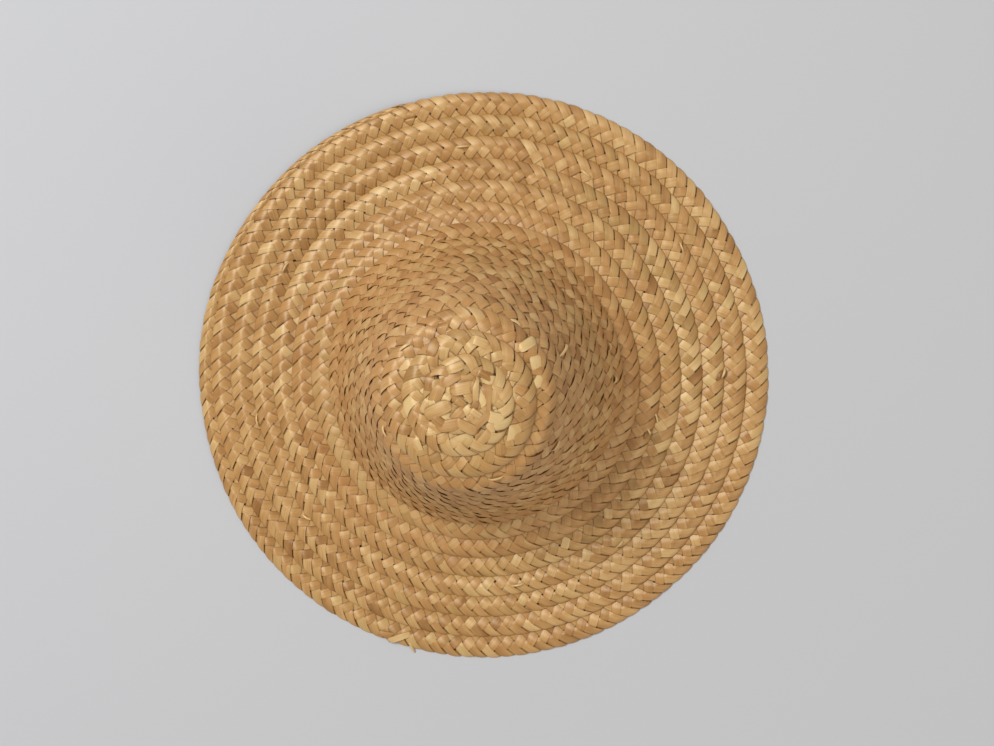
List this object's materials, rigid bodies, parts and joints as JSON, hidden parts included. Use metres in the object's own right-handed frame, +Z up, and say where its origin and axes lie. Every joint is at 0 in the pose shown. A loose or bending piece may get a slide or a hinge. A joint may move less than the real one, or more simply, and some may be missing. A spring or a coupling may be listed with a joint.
{
  "type": "plaited straw sun hat",
  "caption": "Wide-brimmed sun hat with a round domed crown, sewn in a spiral from a flat straw plait, each turn lapping over the next one outside it",
  "frame": {"origin": "on the ground plane under the middle of the hat's outline, the hat resting on the underside of its rim", "axes": "+Z up through the crown, +Y to the hat's front, +X to its right-hand side seen from above with the front away"},
  "size_m": [0.38, 0.379, 0.1361],
  "materials": {
    "straw": "natural plaited wheat straw, semi-matt"
  },
  "bodies": {
    "root": {"crown_tip": "straw", "crown_side": "straw", "brim": "straw", "brim_edge": "straw"}
  },
  "joints": []
}
